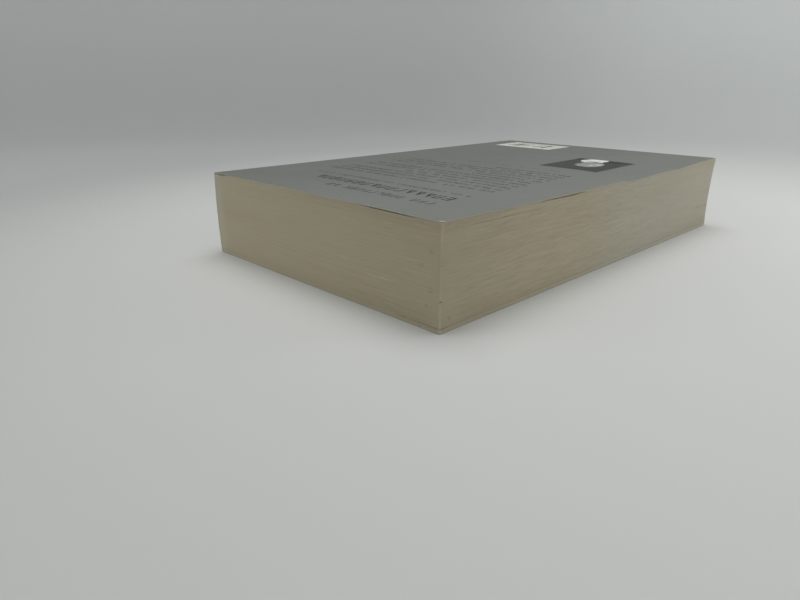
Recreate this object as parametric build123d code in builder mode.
from build123d import *
import math
import os

# Pocket paperback, lying on its front cover with the back cover up.
# The spine is towards -X, the fore edge +X, the head -Y and the tail +Y.
# The origin is at the bottom centre. All sizes are in millimetres.

# Overall size
book_width = 110.0
book_height = 178.0
book_thickness = 29.5

# Cover: one sheet of card, folded round the block and scored at two creases
card = 0.3
fold_radius = 1.0
spine_bow = 0.6
crease_inset = 6.5
crease_depth = 0.1
cover_corner_radius = 0.8

# Hot-melt glue between the cover and the milled spine of the block
spine_glue_film = 0.5
side_glue_film = 0.1
side_glue_setback = 1.5

# Page block: leaves in gatherings, trimmed flush with the cover on three sides
gathering_count = 22
gathering_gap = 0.08
gathering_gap_depth = 0.25
fore_edge_hollow = 0.45
leaf_corner_radius = 0.4

# Places worked out from the sizes above
middle_z = book_thickness / 2
fore_x = book_width / 2
spine_x = spine_bow - book_width / 2
crease_x = spine_x + crease_inset
glue_edge_x = crease_x - side_glue_setback
block_spine_x = spine_x + card + spine_glue_film
block_bottom = card + side_glue_film
block_top = book_thickness - block_bottom
block_thickness = block_top - block_bottom
gathering_pitch = block_thickness / gathering_count
hollow_radius = block_thickness**2 / (8 * fore_edge_hollow) + fore_edge_hollow / 2
past = 1.0


def fore_edge_at(z):
    """X of the hollow fore edge of the block at a height z."""
    drop = math.sqrt(hollow_radius**2 - (z - middle_z) ** 2)
    return fore_x - fore_edge_hollow + hollow_radius - drop


def wrapped_region(inset, reach):
    """Section inside the wrapped cover, inset from its outside, from the spine to x = reach."""
    with BuildSketch() as region:
        with BuildLine() as outline:
            low = (spine_x + inset, inset)
            high = (spine_x + inset, book_thickness - inset)
            ThreePointArc(low, (spine_x + inset - spine_bow, middle_z), high)
            Polyline(high, (reach, book_thickness - inset), (reach, inset), low)
        make_face()
        folds = region.vertices().group_by(Axis.X)[0]
        fillet(folds, radius=fold_radius - inset)
    return region.sketch


def block_section():
    """Section of the page block: bowed at the spine and hollow at the fore edge."""
    with BuildSketch() as section:
        with BuildLine():
            spine_low = (block_spine_x, block_bottom)
            spine_high = (block_spine_x, block_top)
            fore_low = (fore_x, block_bottom)
            fore_high = (fore_x, block_top)
            ThreePointArc(spine_low, (block_spine_x - spine_bow, middle_z), spine_high)
            Line(spine_high, fore_high)
            ThreePointArc(fore_high, (fore_x - fore_edge_hollow, middle_z), fore_low)
            Line(fore_low, spine_low)
        make_face()
        milled_corners = section.vertices().group_by(Axis.X)[0]
        fillet(milled_corners, radius=fold_radius - card)
    return section.sketch


# Page block
with BuildPart() as page_block:
    with BuildSketch(Plane.XZ):
        add(block_section())
    extrude(amount=book_height / 2, both=True)
    trimmed_faces = page_block.faces().filter_by(Axis.Y)
    fore_corners = trimmed_faces.edges().filter_by(GeomType.CIRCLE).group_by(Axis.X)[-1]
    fillet(fore_corners, radius=leaf_corner_radius)
    # Hairline gaps part the gatherings on the three trimmed sides, out from the glued hinge
    for number in range(1, gathering_count):
        gap_z = block_bottom + number * gathering_pitch
        core_x = fore_edge_at(gap_z) - gathering_gap_depth
        with BuildSketch(Plane.XY.offset(gap_z - gathering_gap / 2)):
            with Locations((crease_x, 0)):
                Rectangle(
                    fore_x + past - crease_x,
                    book_height + 2 * past,
                    align=(Align.MIN, Align.CENTER),
                )
                Rectangle(
                    core_x - crease_x,
                    book_height - 2 * gathering_gap_depth,
                    align=(Align.MIN, Align.CENTER),
                    mode=Mode.SUBTRACT,
                )
        extrude(amount=gathering_gap, mode=Mode.SUBTRACT)

page_block.part.label = "page_block"

# Spine glue: the film on the milled spine, carried a little way round onto both sides
with BuildPart() as spine_glue:
    with BuildSketch(Plane.XZ):
        add(wrapped_region(card, glue_edge_x))
        add(block_section(), mode=Mode.SUBTRACT)
    extrude(amount=book_height / 2, both=True)

spine_glue.part.label = "spine_glue"

# Spine: the cover's middle panel, its two round folds and the strips out to the creases
with BuildPart() as spine:
    with BuildSketch(Plane.XZ) as spine_section:
        add(wrapped_region(0, crease_x))
        add(wrapped_region(card, crease_x + past), mode=Mode.SUBTRACT)
        strip_ends = spine_section.vertices().group_by(Axis.X)[-1]
        outer_ends = strip_ends.sort_by(Axis.Z)
        chamfer([outer_ends[0], outer_ends[-1]], length=crease_depth)
    extrude(amount=book_height / 2, both=True)

spine.part.label = "spine"

# Front and back cover: flat card from the crease to the fore edge, worn round at the corners
cover_planes = {
    "front_cover": -Plane.XY,
    "back_cover": Plane.XY.offset(book_thickness),
}
covers = []
for cover_name, outside in cover_planes.items():
    with BuildPart() as cover:
        with BuildSketch(outside) as panel:
            with Locations((crease_x, 0)):
                Rectangle(fore_x - crease_x, book_height, align=(Align.MIN, Align.CENTER))
            fillet(panel.vertices().group_by(Axis.X)[-1], radius=cover_corner_radius)
        extrude(amount=-card)
        crease_face = cover.faces().sort_by(Axis.X)[0]
        outer_edge = crease_face.edges().filter_by(Axis.Y).sort_by(
            lambda edge: abs(edge.center().Z - middle_z)
        )[-1]
        chamfer(outer_edge, length=crease_depth)
    cover.part.label = cover_name
    covers.append(cover)

os.makedirs("parts", exist_ok=True)
for piece in [page_block, spine_glue, spine, *covers]:
    export_step(piece.part, f"parts/{piece.part.label}.step")
